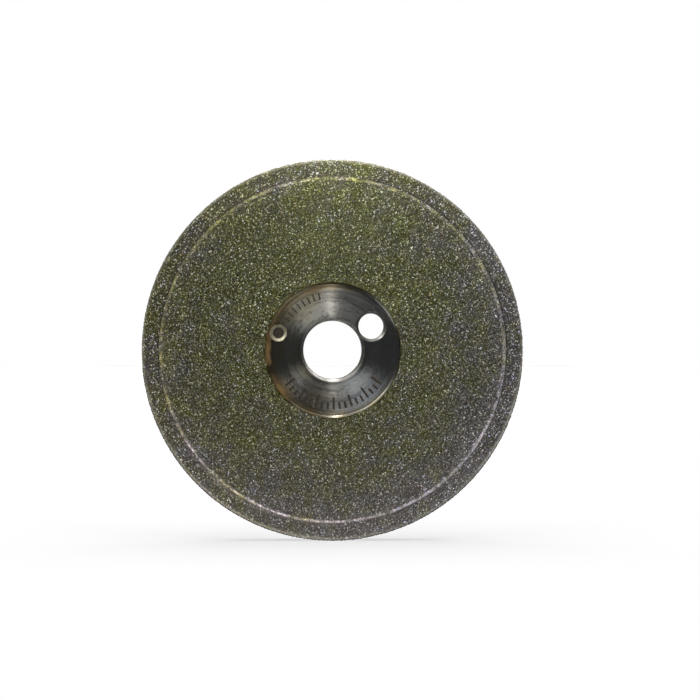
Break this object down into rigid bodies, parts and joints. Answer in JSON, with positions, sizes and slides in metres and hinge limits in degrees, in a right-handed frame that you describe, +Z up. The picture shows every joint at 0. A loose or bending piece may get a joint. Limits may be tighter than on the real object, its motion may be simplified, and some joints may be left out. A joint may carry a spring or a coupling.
{
  "type": "diamond grinding wheel",
  "caption": "Flat round diamond grinding wheel, coated on both faces and round its stepped rim, with a recessed steel hub, a spindle bore and an off-centre drive-pin hole.",
  "frame": {"origin": "the wheel's centre: on its axis, half way through its thickness", "axes": "+Y along the wheel's axis, out of its back face; +Z up; the drive-pin hole lies towards +X and +Z; the front face looks along -Y"},
  "size_m": [0.052, 0.005, 0.052],
  "materials": {
    "core_steel": "fine turned",
    "face_grit": "rough diamond grit in nickel",
    "rim_grit": "rough diamond grit in nickel"
  },
  "bodies": {
    "root": {"steel_core": "core_steel", "front_grit_layer": "face_grit", "back_grit_layer": "face_grit", "rim_grit_layer": "rim_grit"}
  },
  "joints": []
}
